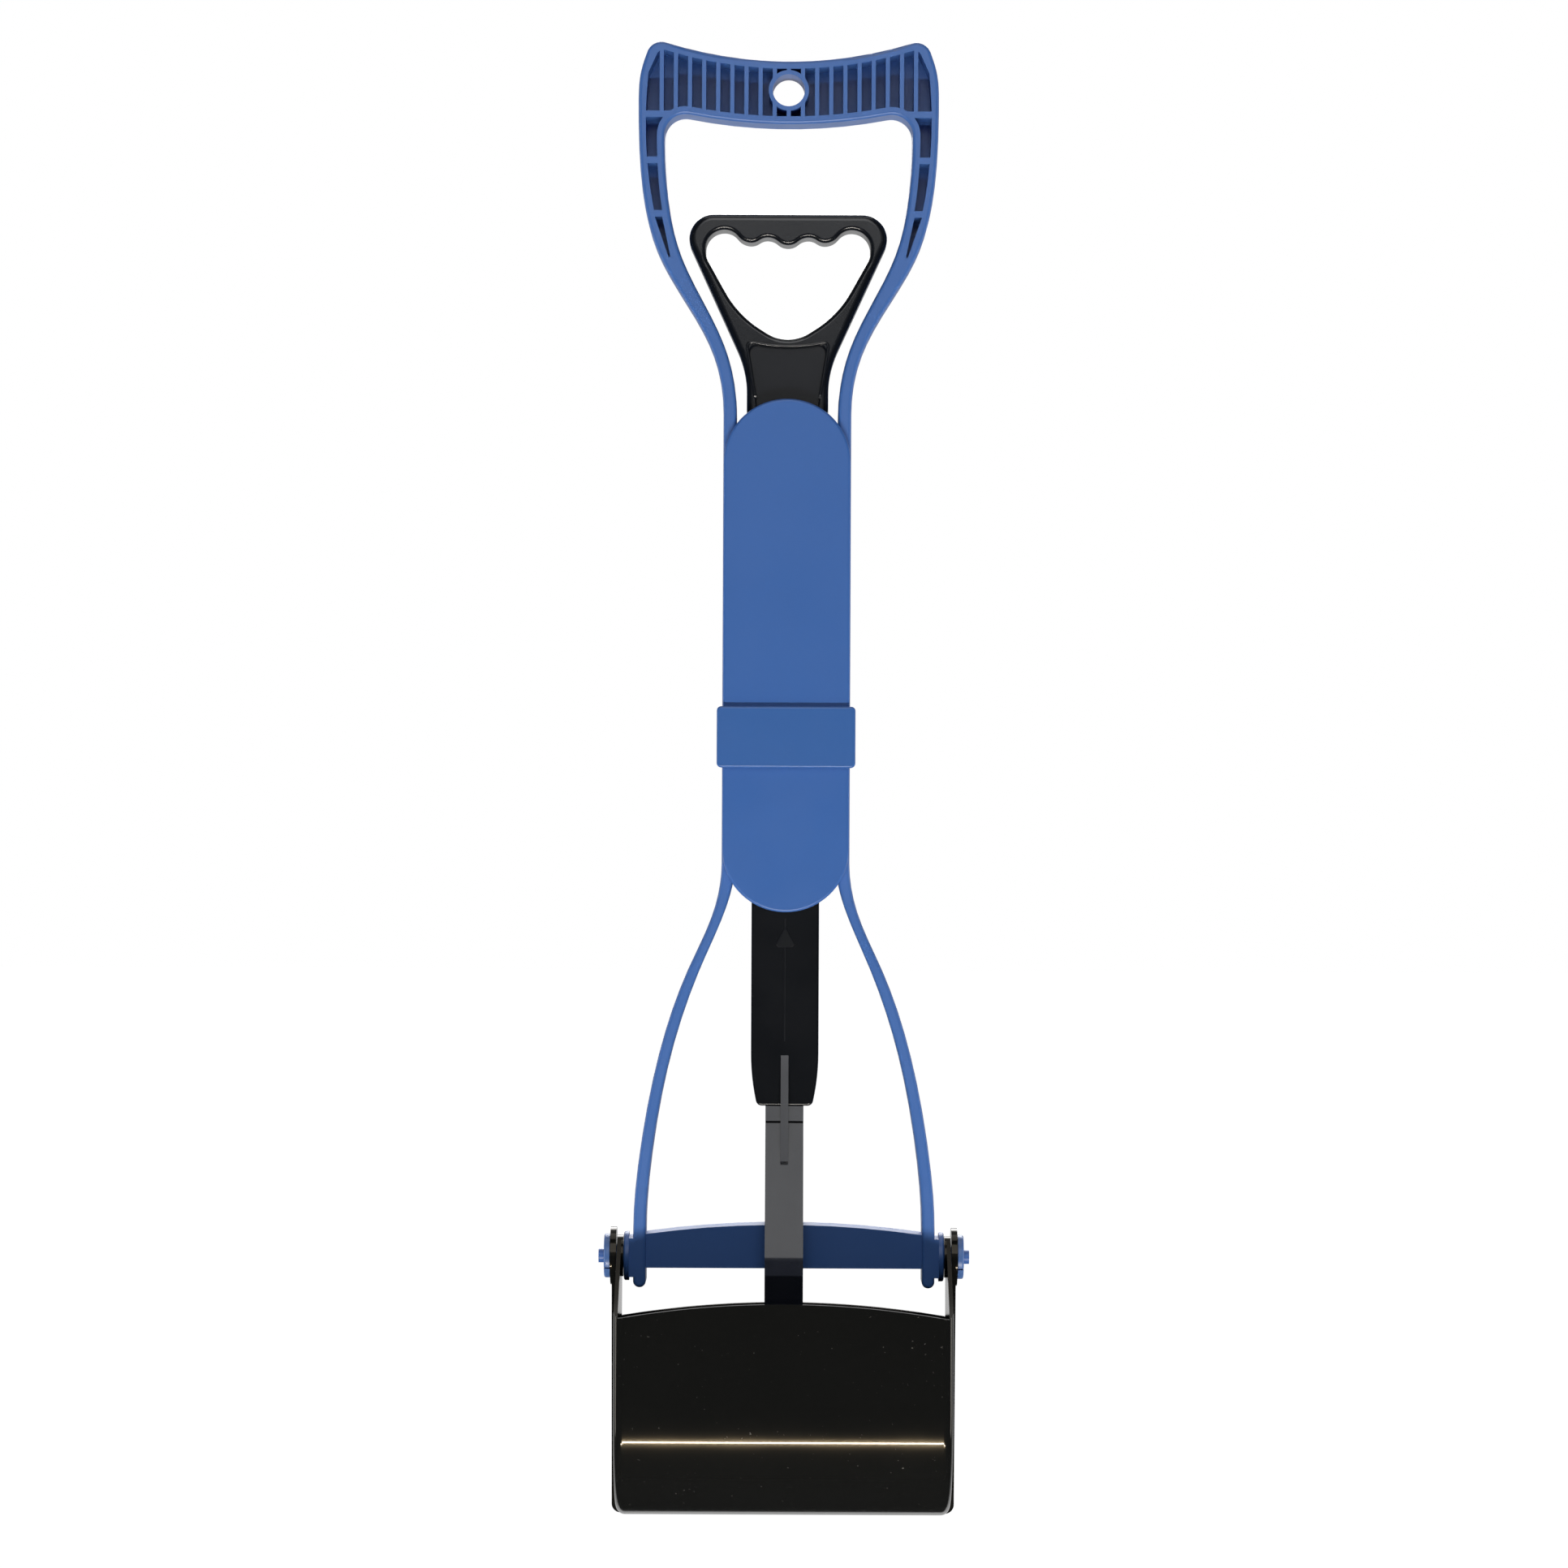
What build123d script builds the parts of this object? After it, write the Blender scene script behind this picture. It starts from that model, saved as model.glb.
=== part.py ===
from build123d import *
import os
from math import acos, atan2, cos, hypot, pi, sin, sqrt

# A long-handled jaw scooper. All sizes are in millimetres.
# The origin is the centre of the hang hole. X runs across the grip,
# -Y is the front face and +Z points up, from the jaws to the grip.

# Hang hole in the middle of the grip
hang_hole_radius = 6.95
hang_ring_wall = 1.75

# Grip, with its hollow top edge
grip_half_width = 64.9
grip_top_rise = 12.6
grip_top_radius = 181.0
grip_shoulder_inset = 5.7
grip_corner_radius = 6.5
grip_side_width = 11.3
bar_bottom_drop = 14.6
bar_bottom_radius = 228.0
window_corner_radius = 9.0

# Moulded recess in the grip's front
frame_depth = 18.0
frame_edge_radius = 1.5
rim_wall = 3.3
back_wall = 2.5
rib_pitch = 6.1
rib_width = 1.8
rib_count = 19
web_thickness = 2.8
web_drops = (10.4, 30.3, 53.4)
rail_cell_tip_drop = 72.2
rail_cell_tip_inset = 13.2
rail_cell_tip_width = 0.9
rail_cell_outside_inset = 7.2
rail_cell_inside_inset = 10.4

# Rails, straight along the housing and splayed below it
waist_half_width = 27.6
waist_rail_width = 5.7
waist_top_drop = 140.0
waist_bottom_drop = 334.0
foot_half_width = 65.1
foot_rail_width = 5.5

# Side lines of the rails: shares of the way across and down
grip_outside_shares = (
    (0.973, 0.0295), (1.0, 0.122), (0.965, 0.3316), (0.7775, 0.5347), (0.429, 0.6855), (0.1287, 0.823),
)
grip_inside_shares = ((1.0, 0.059), (0.953, 0.2456), (0.776, 0.448), (0.454, 0.6164), (0.142, 0.785))
foot_outside_shares = ((0.0907, 0.1308), (0.381, 0.29), (0.72, 0.529), (0.931, 0.795))
foot_inside_shares = ((0.109, 0.128), (0.371, 0.276), (0.719, 0.52), (0.928, 0.782))

# Pivot axis, crossbar and bosses
pivot_drop = 504.4
foot_straight_rise = 12.4
rail_end_below_pivot = 12.9
crossbar_above_pivot = 14.3
crossbar_below_pivot = 4.5
crossbar_arch_radius = 430.0
crossbar_depth = 15.0
boss_block_half_height = 8.4
boss_flange_radius = 10.6
boss_flange_thickness = 2.2
boss_flange_rounding = 0.8
boss_length = 4.1
axle_radius = 5.0
axle_tip_radius = 3.0
axle_tip_beyond_cap = 2.5
running_clearance = 0.08
side_gap = 0.3

# Caps on the axle stubs
cap_radius = 9.5
cap_thickness = 2.5
cap_edge_radius = 0.9
cap_slit_width = 0.6
cap_slit_below_axis = 4.6

# Covers, their collar and screws
cover_half_width = 27.5
cover_top_drop = 133.4
cover_bottom_drop = 354.9
cover_thickness = 3.2
cover_edge_radius = 1.2
guide_rib_width = 1.8
guide_gap = 0.5
cover_peg_radius = 1.5
cover_peg_length = 5.0
peg_clearance = 0.05
screw_drops = (166.0, 321.0)
screw_shank_radius = 1.3
screw_head_radius = 2.6
screw_head_height = 1.5
screw_length = 12.0
band_top_drop = 266.1
band_bottom_drop = 292.6
band_half_width = 29.9
band_wall = 2.3
band_corner_radius = 2.0
band_edge_radius = 1.0
band_clearance = 0.1

# Pull handle
handle_top_drop = 53.4
handle_side_gap = 5.0
handle_corner_radius = 10.5
handle_waist_half_width = 17.6
handle_waist_drop = 121.0
handle_waist_radius = 45.0
handle_depth = 17.2
handle_edge_radius = 2.8
finger_edge_radius = 1.8
handle_end_drop = 245.0
handle_side_width = 13.0
finger_top_drop = 60.2
finger_side_drop = 69.0
finger_bottom_drop = 107.4
# Scalloped underside of the bar: shares of the half width and of the height from top to side
scallop_shares = ((0.0, 0.75), (0.247, 0.375), (0.447, 0.636), (0.772, 0.0))
# Corners of the finger hole's V: shares of the half width and of the height from side to bottom
finger_corner_shares = ((1.0, 0.075), (0.604, 0.729))
# Their rounding and the rounding at its foot, as shares of the half width
finger_corner_radius_shares = (0.253, 1.264)
finger_bottom_radius_share = 0.478
finger_bottom_rounding = 3.1
neck_recess_depth = 2.5
neck_recess_top_drop = 109.0
neck_recess_dip = 2.0
neck_recess_end_drop = 152.0
neck_recess_top_half_width = 17.0
neck_recess_end_half_width = 11.0
neck_recess_corner_radius = 3.5
neck_recess_edge_radius = 0.8

# Return spring and its window in the handle
spring_window_half_width = 5.2
spring_window_top_drop = 172.0
spring_window_bottom_drop = 240.0
peg_height = 6.0
spigot_radius = 2.6
spigot_length = 5.0
seat_gap = 0.3
spring_radius = 4.0
spring_wire_radius = 0.55
spring_turns = 11

# Pull stem and its joint with the handle
stem_half_width = 14.6
stem_taper_drop = 416.0
stem_end_half_width = 11.9
stem_end_drop = 438.6
stem_corner_radius = 2.6
stem_edge_radius = 1.0
tongue_half_width = 8.0
tongue_half_depth = 3.2
tongue_length = 20.0
tongue_clearance = 0.1
stem_pin_radius = 2.0
pin_clearance = 0.02

# Straps from the stem to the jaws
strap_half_width = 8.2
strap_thickness = 3.5
strap_root_height = 7.4
strap_root_inset = 1.0
strap_root_slope = 1.6
strap_bend_radius = 6.0
strap_bend_above_pivot = 2.5
strap_barrel_radius = 4.2
fork_half_gap = 3.2
fork_height = 8.4
gusset_half_width = 1.65
gusset_top_drop = 416.8
gusset_bottom_drop = 461.8
gusset_reach = 9.9
groove_depth = 0.9
groove_height = 1.0

# Link pins in the straps' forked ends, and the slotted lugs of the jaws between them
pull_travel = 35.0
link_offset = 33.0
link_below_pivot = 26.0
link_pin_radius = 2.0
lug_half_width = 2.5
lug_wall = 1.8
lug_root_top = 30.0
lug_root_bottom = 44.0
slot_clearance = 0.4
slot_steps = 8

# Jaws, measured from the pivot axis
jaw_plate_thickness = 1.8
jaw_wall = 2.2
jaw_rim_offset = 48.5
jaw_shoulder_offset = 50.0
jaw_rim_drop = 15.6
jaw_rim_end_drop = 21.8
jaw_shoulder_drop = 60.0
jaw_lip_drop = 111.5
lip_half_gap = 0.3
front_ear_radius = 9.0
rear_ear_radius = 12.5
ear_pad = 0.8
rear_rim_lower = 9.6
jaw_corner_radius = 4.0
rim_edge_radius = 0.6
overrun = 5.0

# Sizes worked out from those above
half_depth = frame_depth / 2
grip_shoulder_half_width = grip_half_width - grip_shoulder_inset
window_half_width = grip_half_width - grip_side_width
handle_corner_half_width = window_half_width - handle_side_gap
finger_half_width = handle_corner_half_width - handle_side_width
pivot_height = -pivot_drop
boss_face = foot_half_width + boss_length
front_ear_face = boss_face + side_gap
front_plate_inside = front_ear_face + ear_pad
rear_plate_inside = front_plate_inside + jaw_plate_thickness + side_gap
cap_face = rear_plate_inside + jaw_plate_thickness + ear_pad + side_gap
axle_end = cap_face + cap_thickness + axle_tip_beyond_cap
rail_centre = waist_half_width - waist_rail_width / 2
cover_face = half_depth + cover_thickness
stem_half_depth = handle_depth / 2
link_height = pivot_height - link_below_pivot
peg_top = -spring_window_top_drop - seat_gap
peg_bottom = peg_top - peg_height
link_angle = atan2(link_below_pivot, link_offset)
jaw_opening = link_angle + atan2(pull_travel - link_below_pivot, link_offset)
lug_half_height = link_pin_radius + slot_clearance + lug_wall

os.makedirs("parts", exist_ok=True)


def rise(radius, reach):
    """How far an arc of this radius has risen at this reach from its middle."""
    return radius - sqrt(radius * radius - reach * reach)


def side_line(shares, inner, outer, top, bottom):
    """Points of a side line that runs between two half widths and two heights."""
    return [(inner + across * (outer - inner), top + down * (bottom - top)) for across, down in shares]


def beside(points, distance):
    """The points of a line that runs down, each moved square to the line. Positive is to the right."""
    moved = []
    for before, point, after in zip(points, points[1:], points[2:]):
        run, fall = after[0] - before[0], after[1] - before[1]
        length = hypot(run, fall)
        moved.append((point[0] - distance * fall / length, point[1] + distance * run / length))
    return moved


def both_sides(points):
    """The points, then their mirror images in reverse order."""
    return list(points) + [(-x, z) for x, z in reversed(points)]


# Outline of the outer frame, grip to crossbar
shoulder = (grip_shoulder_half_width, grip_top_rise + rise(grip_top_radius, grip_shoulder_half_width))
waist_top = (waist_half_width, -waist_top_drop)
waist_bottom = (waist_half_width, -waist_bottom_drop)
foot_top = (foot_half_width, pivot_height + foot_straight_rise)
foot_bottom = (foot_half_width, pivot_height - crossbar_below_pivot)

grip_outside = side_line(
    grip_outside_shares, waist_half_width, grip_half_width, grip_top_rise, -waist_top_drop
)
foot_outside = side_line(
    foot_outside_shares, waist_half_width, foot_half_width, -waist_bottom_drop, foot_top[1]
)

with BuildSketch() as silhouette:
    with BuildLine():
        ThreePointArc((-shoulder[0], shoulder[1]), (0, grip_top_rise), shoulder)
    with BuildLine():
        Spline(shoulder, *grip_outside, waist_top, tangents=((0.3, -1), (0, -1)), tangent_scalars=(1, 1))
        Line(waist_top, waist_bottom)
        Spline(
            waist_bottom, *foot_outside, foot_top, tangents=((0, -1), (0, -1)), tangent_scalars=(1, 1)
        )
        Line(foot_top, foot_bottom)
        mirror(about=Plane.YZ)
    with BuildLine():
        Line(foot_bottom, (-foot_bottom[0], foot_bottom[1]))
    make_face()
    fillet(silhouette.vertices().group_by(Axis.Y)[-1], grip_corner_radius)

# Opening between the rails, from the grip's bar down
inner_waist = waist_half_width - waist_rail_width
inner_foot = foot_half_width - foot_rail_width
window_corner = (window_half_width, rise(bar_bottom_radius, window_half_width) - bar_bottom_drop)
open_bottom = foot_bottom[1] - overrun
grip_inside = side_line(
    grip_inside_shares, inner_waist, window_half_width, -bar_bottom_drop, -waist_top_drop
)
foot_inside = side_line(foot_inside_shares, inner_waist, inner_foot, -waist_bottom_drop, foot_top[1])

with BuildSketch() as opening:
    with BuildLine():
        ThreePointArc((-window_corner[0], window_corner[1]), (0, -bar_bottom_drop), window_corner)
    with BuildLine():
        Line(window_corner, grip_inside[0])
        Spline(
            *grip_inside, (inner_waist, -waist_top_drop), tangents=((0, -1), (0, -1)),
            tangent_scalars=(1, 1),
        )
        Line((inner_waist, -waist_top_drop), (inner_waist, -waist_bottom_drop))
        Spline(
            (inner_waist, -waist_bottom_drop), *foot_inside, (inner_foot, foot_top[1]),
            tangents=((0, -1), (0, -1)), tangent_scalars=(1, 1),
        )
        Line((inner_foot, foot_top[1]), (inner_foot, open_bottom))
        mirror(about=Plane.YZ)
    with BuildLine():
        Line((inner_foot, open_bottom), (-inner_foot, open_bottom))
    make_face()
    fillet(opening.vertices().group_by(Axis.Y)[-1], window_corner_radius)

# The recess in the front lies inside one rim and outside another, each the wall's width from an edge
rim_top_radius = grip_top_radius + rim_wall
rim_bottom_radius = bar_bottom_radius - rim_wall
rim_shoulder = grip_shoulder_half_width - rim_wall
rim_corner = window_half_width + rim_wall
for_outer_rim = beside([shoulder, *grip_outside], -rim_wall)
for_inner_rim = beside([window_corner, *grip_inside], rim_wall)
rim_sketches = []
for radius, reach, middle, corner, points in (
    (rim_top_radius, rim_shoulder, grip_top_rise - rim_wall, grip_corner_radius - rim_wall, for_outer_rim),
    (
        rim_bottom_radius, rim_corner, rim_wall - bar_bottom_drop, window_corner_radius + rim_wall,
        for_inner_rim,
    ),
):
    end = (reach, middle + rise(radius, reach))
    with BuildSketch() as rim:
        with BuildLine():
            ThreePointArc((-end[0], end[1]), (0, middle), end)
        with BuildLine():
            Line(end, points[0])
            Spline(*points)
            mirror(about=Plane.YZ)
        with BuildLine():
            Line(points[-1], (-points[-1][0], points[-1][1]))
        make_face()
        fillet(rim.vertices().group_by(Axis.Y)[-1], corner)
    rim_sketches.append(rim.sketch)
rim_inside, rim_outside = rim_sketches

# Outer frame, whose rails end in a half round below the crossbar
reach = foot_half_width - foot_rail_width / 2
end_centre = pivot_height - rail_end_below_pivot + foot_rail_width / 2
with BuildPart() as outer_frame:
    with BuildSketch(Plane.XZ):
        add(silhouette.sketch)
        add(opening.sketch, mode=Mode.SUBTRACT)
        with Locations((-reach, end_centre), (reach, end_centre)):
            Circle(foot_rail_width / 2)
            Rectangle(foot_rail_width, rail_end_below_pivot, align=(Align.CENTER, Align.MIN))
    extrude(amount=half_depth, both=True)
    faces = outer_frame.faces().sort_by(Axis.Y)
    fillet(faces[0].edges() + faces[-1].edges(), frame_edge_radius)
    # Grip cells between the ribs
    front = Plane.XZ.offset(half_depth)
    with BuildSketch(front):
        add(rim_inside)
        add(rim_outside, mode=Mode.SUBTRACT)
        web_top = web_thickness / 2 - web_drops[0]
        for side in (-1, 1):
            with Locations((side * grip_half_width, web_top)):
                Rectangle(
                    grip_side_width + window_corner_radius, 2 * grip_half_width,
                    align=(Align.MIN if side < 0 else Align.MAX, Align.MAX), mode=Mode.SUBTRACT,
                )
        with Locations((0, -bar_bottom_drop)):
            Rectangle(
                2 * grip_half_width, shoulder[1] + bar_bottom_drop,
                align=(Align.CENTER, Align.MIN), mode=Mode.INTERSECT,
            )
        with GridLocations(rib_pitch, 0, rib_count, 1):
            Rectangle(rib_width, 2 * (shoulder[1] - web_top), mode=Mode.SUBTRACT)
        Circle(hang_hole_radius + hang_ring_wall, mode=Mode.SUBTRACT)
    extrude(amount=back_wall - frame_depth, mode=Mode.SUBTRACT)
    # Cells down the rails
    with BuildSketch(front):
        add(rim_inside)
        add(rim_outside, mode=Mode.SUBTRACT)
        with Locations((0, -web_drops[0])):
            Rectangle(
                2 * grip_half_width, web_drops[-1] - web_drops[0],
                align=(Align.CENTER, Align.MAX), mode=Mode.INTERSECT,
            )
        for drop in web_drops:
            with Locations((0, -drop)):
                Rectangle(2 * grip_half_width, web_thickness, mode=Mode.SUBTRACT)
        for side in (-1, 1):
            cell_top = -web_drops[-1] - web_thickness / 2
            with BuildLine():
                Polyline(
                    (side * (grip_half_width - rail_cell_inside_inset), cell_top),
                    (side * (grip_half_width - rail_cell_outside_inset), cell_top),
                    (side * (grip_half_width - rail_cell_tip_inset), -rail_cell_tip_drop),
                    (side * (grip_half_width - rail_cell_tip_inset - rail_cell_tip_width), -rail_cell_tip_drop),
                    close=True,
                )
            make_face()
    extrude(amount=back_wall - frame_depth, mode=Mode.SUBTRACT)
    with BuildSketch(front):
        Circle(hang_hole_radius)
    extrude(amount=-frame_depth, mode=Mode.SUBTRACT)
    # Crossbar, arched on top
    with BuildSketch(Plane.XZ):
        arch_middle = pivot_height + crossbar_above_pivot
        arch_end = arch_middle - rise(crossbar_arch_radius, inner_foot)
        with BuildLine():
            ThreePointArc((-inner_foot, arch_end), (0, arch_middle), (inner_foot, arch_end))
            Polyline(
                (inner_foot, arch_end), (reach, arch_end), (reach, foot_bottom[1]),
                (-reach, foot_bottom[1]), (-reach, arch_end), (-inner_foot, arch_end),
            )
        make_face()
    extrude(amount=crossbar_depth / 2, both=True)
    for side in (-1, 1):
        # Pivot boss, with its flange, and axle stub
        flange_back = boss_face - boss_flange_thickness
        with BuildSketch(Plane.YZ.offset(side * reach)):
            with Locations((0, pivot_height)):
                Rectangle(frame_depth, 2 * boss_block_half_height)
        extrude(amount=side * (flange_back - reach))
        with BuildSketch(Plane.YZ.offset(side * flange_back)):
            with Locations((0, pivot_height)):
                Circle(boss_flange_radius)
        extrude(amount=side * boss_flange_thickness)
        fillet(outer_frame.faces().sort_by(Axis.X)[-1 if side > 0 else 0].edges(), boss_flange_rounding)
        for start, end, radius in (
            (boss_face, cap_face, axle_radius),
            (cap_face, axle_end, axle_tip_radius),
        ):
            with BuildSketch(Plane.YZ.offset(side * start)):
                with Locations((0, pivot_height)):
                    Circle(radius)
            extrude(amount=side * (end - start))
        # Holes for the front cover's pegs and pilot holes for the rear screws
        for drop in screw_drops:
            with BuildSketch(front):
                with Locations((side * rail_centre, -drop)):
                    Circle(cover_peg_radius + peg_clearance)
            extrude(amount=-(cover_peg_length + seat_gap), mode=Mode.SUBTRACT)
            with BuildSketch(front.offset(-frame_depth)):
                with Locations((side * rail_centre, -drop)):
                    Circle(screw_shank_radius)
            extrude(amount=screw_length - cover_thickness, mode=Mode.SUBTRACT)
outer_frame.part.label = "outer_frame"
export_step(outer_frame.part, "parts/outer_frame.step")

# Shared outline of the two covers
cover_length = cover_bottom_drop - cover_top_drop
cover_middle = -(cover_top_drop + cover_bottom_drop) / 2
with BuildSketch() as cover_outline:
    with Locations((0, cover_middle)):
        SlotOverall(cover_length, 2 * cover_half_width, rotation=90)

# Front cover, with pegs that press into the rails
with BuildPart() as front_cover:
    with BuildSketch(front):
        add(cover_outline.sketch)
    extrude(amount=cover_thickness)
    fillet(front_cover.faces().sort_by(Axis.Y)[0].edges(), cover_edge_radius)
    with BuildSketch(front):
        for drop in screw_drops:
            with Locations((-rail_centre, -drop), (rail_centre, -drop)):
                Circle(cover_peg_radius)
    extrude(amount=-cover_peg_length)
front_cover.part.label = "front_cover"
export_step(front_cover.part, "parts/front_cover.step")

# Rear cover, with screw holes, guide ribs and the spring's fixed peg
back = Plane.XZ.offset(-half_depth)
with BuildPart() as rear_cover:
    with BuildSketch(back):
        add(cover_outline.sketch)
    extrude(amount=-cover_thickness)
    fillet(rear_cover.faces().sort_by(Axis.Y)[-1].edges(), cover_edge_radius)
    with BuildSketch(back):
        for half_width, top, bottom in (
            (handle_waist_half_width, -cover_top_drop - cover_half_width, -handle_end_drop),
            (stem_half_width, -handle_end_drop - 2 * seat_gap, -cover_bottom_drop + cover_half_width),
        ):
            rib_centre = half_width + guide_gap + guide_rib_width / 2
            with Locations((-rib_centre, bottom), (rib_centre, bottom)):
                Rectangle(guide_rib_width, top - bottom, align=(Align.CENTER, Align.MIN))
        with Locations((0, peg_bottom)):
            Rectangle(
                2 * (spring_window_half_width - seat_gap), peg_height, align=(Align.CENTER, Align.MIN)
            )
    extrude(amount=frame_depth - seat_gap)
    with BuildSketch(Plane.XY.offset(peg_bottom)):
        Circle(spigot_radius)
    extrude(amount=-spigot_length)
    for drop in screw_drops:
        for side in (-1, 1):
            with BuildSketch(back.offset(-cover_thickness)):
                with Locations((side * rail_centre, -drop)):
                    Circle(screw_head_radius)
            extrude(amount=screw_head_height, mode=Mode.SUBTRACT)
            with BuildSketch(back.offset(-cover_thickness)):
                with Locations((side * rail_centre, -drop)):
                    Circle(screw_shank_radius + peg_clearance)
            extrude(amount=cover_thickness, mode=Mode.SUBTRACT)
rear_cover.part.label = "rear_cover"
export_step(rear_cover.part, "parts/rear_cover.step")

# Screws in the rear cover
with BuildPart() as cover_screws:
    with BuildSketch(Plane.XZ.offset(-cover_face)):
        for drop in screw_drops:
            with Locations((-rail_centre, -drop), (rail_centre, -drop)):
                Circle(screw_head_radius - peg_clearance)
    extrude(amount=screw_head_height)
    with BuildSketch(Plane.XZ.offset(screw_head_height - cover_face)):
        for drop in screw_drops:
            with Locations((-rail_centre, -drop), (rail_centre, -drop)):
                Circle(screw_shank_radius)
    extrude(amount=screw_length - screw_head_height)
cover_screws.part.label = "cover_screws"
export_step(cover_screws.part, "parts/cover_screws.step")

# Collar round the covers
band_height = band_bottom_drop - band_top_drop
with BuildPart() as cover_band:
    with BuildSketch(Plane.XY.offset(-band_bottom_drop)):
        Rectangle(2 * band_half_width, 2 * (cover_face + band_clearance + band_wall))
    extrude(amount=band_height)
    fillet(cover_band.edges().filter_by(Axis.Y), band_corner_radius)
    fillet(cover_band.faces().sort_by(Axis.Y)[0].edges(), band_edge_radius)
    fillet(cover_band.faces().sort_by(Axis.Y)[-1].edges(), band_edge_radius)
    with BuildSketch(Plane.XY.offset(-band_bottom_drop)):
        Rectangle(2 * (waist_half_width + band_clearance), 2 * (cover_face + band_clearance))
    extrude(amount=band_height, mode=Mode.SUBTRACT)
cover_band.part.label = "cover_band"
export_step(cover_band.part, "parts/cover_band.step")

# Pull handle: D-grip, neck and the window for the spring
with BuildPart() as pull_handle:
    with BuildSketch(Plane.XZ) as handle_outline:
        with BuildLine():
            Polyline(
                *both_sides([
                    (handle_corner_half_width, -handle_top_drop),
                    (handle_waist_half_width, -handle_waist_drop),
                    (handle_waist_half_width, -handle_end_drop),
                ]),
                close=True,
            )
        make_face()
        fillet(handle_outline.vertices().group_by(Axis.Y)[-1], handle_corner_radius)
        fillet(handle_outline.vertices().group_by(Axis.Y)[1], handle_waist_radius)
        # Finger hole: a scalloped bar above, a rounded V below
        side = (finger_half_width, -finger_side_drop)
        with BuildLine():
            start = None
            for across, down in scallop_shares:
                end = (
                    across * finger_half_width,
                    -finger_top_drop - down * (finger_side_drop - finger_top_drop),
                )
                if start:
                    middle = ((start[0] + end[0]) / 2, (start[1] + end[1]) / 2)
                    swell = TangentArc(start, middle, tangent=(1, 0))
                    TangentArc(middle, end, tangent=swell % 1)
                start = end
            TangentArc(start, side, tangent=(1, 0))
            mirror(about=Plane.YZ)
        with BuildLine():
            corners = [
                (across * finger_half_width, -finger_side_drop - down * (finger_bottom_drop - finger_side_drop))
                for across, down in finger_corner_shares
            ]
            radii = [share * finger_half_width for share in finger_corner_radius_shares]
            FilletPolyline(
                side, *corners, (0, -finger_bottom_drop - finger_bottom_rounding),
                *[(-x, z) for x, z in reversed(corners)], (-side[0], side[1]),
                radius=[*radii, finger_bottom_radius_share * finger_half_width, *reversed(radii)],
            )
        make_face(mode=Mode.SUBTRACT)
    extrude(amount=stem_half_depth, both=True)
    faces = pull_handle.faces().sort_by(Axis.Y)
    around = [face.outer_wire().edges().sort_by(Axis.Z)[1:] for face in (faces[0], faces[-1])]
    fillet(around[0] + around[1], handle_edge_radius)
    faces = pull_handle.faces().sort_by(Axis.Y)
    fillet(faces[0].inner_wires().edges() + faces[-1].inner_wires().edges(), finger_edge_radius)
    # Shield-shaped recess in the neck
    with BuildSketch(Plane.XZ.offset(stem_half_depth)):
        with BuildLine():
            recess_top = -neck_recess_top_drop
            recess_end = -neck_recess_end_drop
            ThreePointArc(
                (-neck_recess_top_half_width, recess_top), (0, recess_top - neck_recess_dip),
                (neck_recess_top_half_width, recess_top),
            )
            Polyline(
                (neck_recess_top_half_width, recess_top), (neck_recess_end_half_width, recess_end),
                (-neck_recess_end_half_width, recess_end), (-neck_recess_top_half_width, recess_top),
            )
        recess = make_face()
        fillet(recess.vertices(), neck_recess_corner_radius)
    extrude(amount=-neck_recess_depth, mode=Mode.SUBTRACT)
    fillet(pull_handle.edges(Select.LAST).group_by(Axis.Y)[0], neck_recess_edge_radius)
    with BuildSketch(Plane.XZ):
        with Locations((0, -spring_window_bottom_drop)):
            Rectangle(
                2 * spring_window_half_width, spring_window_bottom_drop - spring_window_top_drop,
                align=(Align.CENTER, Align.MIN),
            )
    extrude(amount=stem_half_depth, both=True, mode=Mode.SUBTRACT)
    # Tongue that seats in the stem
    with BuildSketch(Plane.XY.offset(-handle_end_drop)):
        Rectangle(2 * tongue_half_width, 2 * tongue_half_depth)
    extrude(amount=-tongue_length)
    with BuildSketch(Plane.XZ):
        with Locations((0, -handle_end_drop - tongue_length / 2)):
            Circle(stem_pin_radius + pin_clearance)
    extrude(amount=stem_half_depth, both=True, mode=Mode.SUBTRACT)
pull_handle.part.label = "pull_handle"
export_step(pull_handle.part, "parts/pull_handle.step")

# Pull stem
with BuildPart() as pull_stem:
    with BuildSketch(Plane.XZ) as stem_outline:
        with BuildLine():
            Line((stem_half_width, -handle_end_drop), (stem_half_width, -stem_taper_drop))
            TangentArc(
                (stem_half_width, -stem_taper_drop), (stem_end_half_width, -stem_end_drop), tangent=(0, -1)
            )
            mirror(about=Plane.YZ)
        with BuildLine():
            Line((-stem_half_width, -handle_end_drop), (stem_half_width, -handle_end_drop))
        with BuildLine():
            Line((-stem_end_half_width, -stem_end_drop), (stem_end_half_width, -stem_end_drop))
        make_face()
        fillet(stem_outline.vertices().group_by(Axis.Y)[0], stem_corner_radius)
    extrude(amount=stem_half_depth, both=True)
    faces = pull_stem.faces().sort_by(Axis.Y)
    rounded = faces[0].edges().sort_by(Axis.Z)[:-1] + faces[-1].edges().sort_by(Axis.Z)[:-1]
    fillet(rounded, stem_edge_radius)
    with BuildSketch(Plane.XY.offset(-handle_end_drop)):
        Rectangle(2 * (tongue_half_width + tongue_clearance), 2 * (tongue_half_depth + tongue_clearance))
    extrude(amount=-tongue_length - tongue_clearance, mode=Mode.SUBTRACT)
    with BuildSketch(Plane.XZ):
        with Locations((0, -handle_end_drop - tongue_length / 2)):
            Circle(stem_pin_radius + pin_clearance)
    extrude(amount=stem_half_depth, both=True, mode=Mode.SUBTRACT)
pull_stem.part.label = "pull_stem"
export_step(pull_stem.part, "parts/pull_stem.step")

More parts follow.
